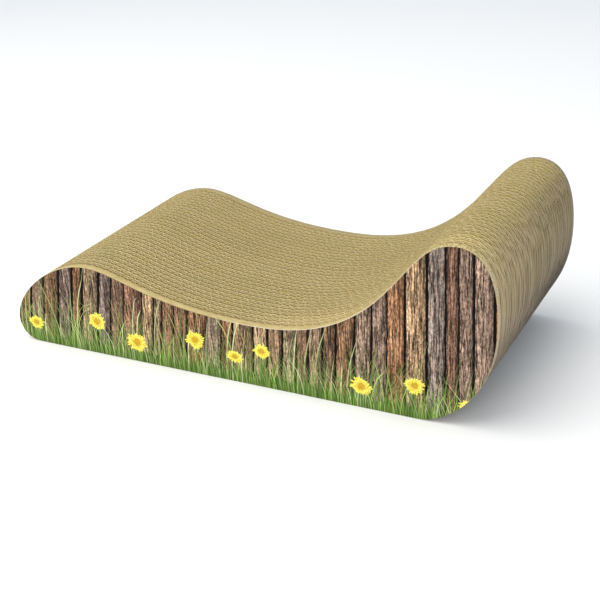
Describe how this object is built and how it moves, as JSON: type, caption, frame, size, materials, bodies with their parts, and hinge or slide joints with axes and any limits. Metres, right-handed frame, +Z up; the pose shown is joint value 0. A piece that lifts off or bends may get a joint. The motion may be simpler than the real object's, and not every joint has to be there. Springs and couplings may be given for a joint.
{
  "type": "cat scratcher lounger",
  "caption": "Wave-shaped corrugated cardboard cat scratcher: low rounded nose, dished seat and raised rounded backrest, of boards glued side by side with printed paper faces.",
  "frame": {"origin": "middle of the footprint, on the floor that the lounger stands on", "axes": "+X along the lounger from the nose to the backrest, +Z up, the front printed face looks along -Y"},
  "size_m": [0.48, 0.2264, 0.1596],
  "materials": {
    "scratch_board": "raw cut edges of brown corrugated board, matt",
    "side_board": "pale cut edge of corrugated board, matt",
    "printed_paper": "white paper with a satin colour print of upright boards over grass"
  },
  "bodies": {
    "root": {"front_side_board": "side_board", "core_board_01": "scratch_board", "core_board_02": "scratch_board", "core_board_03": "scratch_board", "core_board_04": "scratch_board", "core_board_05": "scratch_board", "core_board_06": "scratch_board", "core_board_07": "scratch_board", "core_board_08": "scratch_board", "core_board_09": "scratch_board", "core_board_10": "scratch_board", "core_board_11": "scratch_board", "core_board_12": "scratch_board", "core_board_13": "scratch_board", "core_board_14": "scratch_board", "core_board_15": "scratch_board", "core_board_16": "scratch_board", "core_board_17": "scratch_board", "core_board_18": "scratch_board", "core_board_19": "scratch_board", "core_board_20": "scratch_board", "core_board_21": "scratch_board", "core_board_22": "scratch_board", "core_board_23": "scratch_board", "core_board_24": "scratch_board", "core_board_25": "scratch_board", "core_board_26": "scratch_board", "core_board_27": "scratch_board", "core_board_28": "scratch_board", "core_board_29": "scratch_board", "core_board_30": "scratch_board", "core_board_31": "scratch_board", "core_board_32": "scratch_board", "core_board_33": "scratch_board", "back_side_board": "side_board", "front_print_sheet": "printed_paper", "back_print_sheet": "printed_paper"}
  },
  "joints": []
}
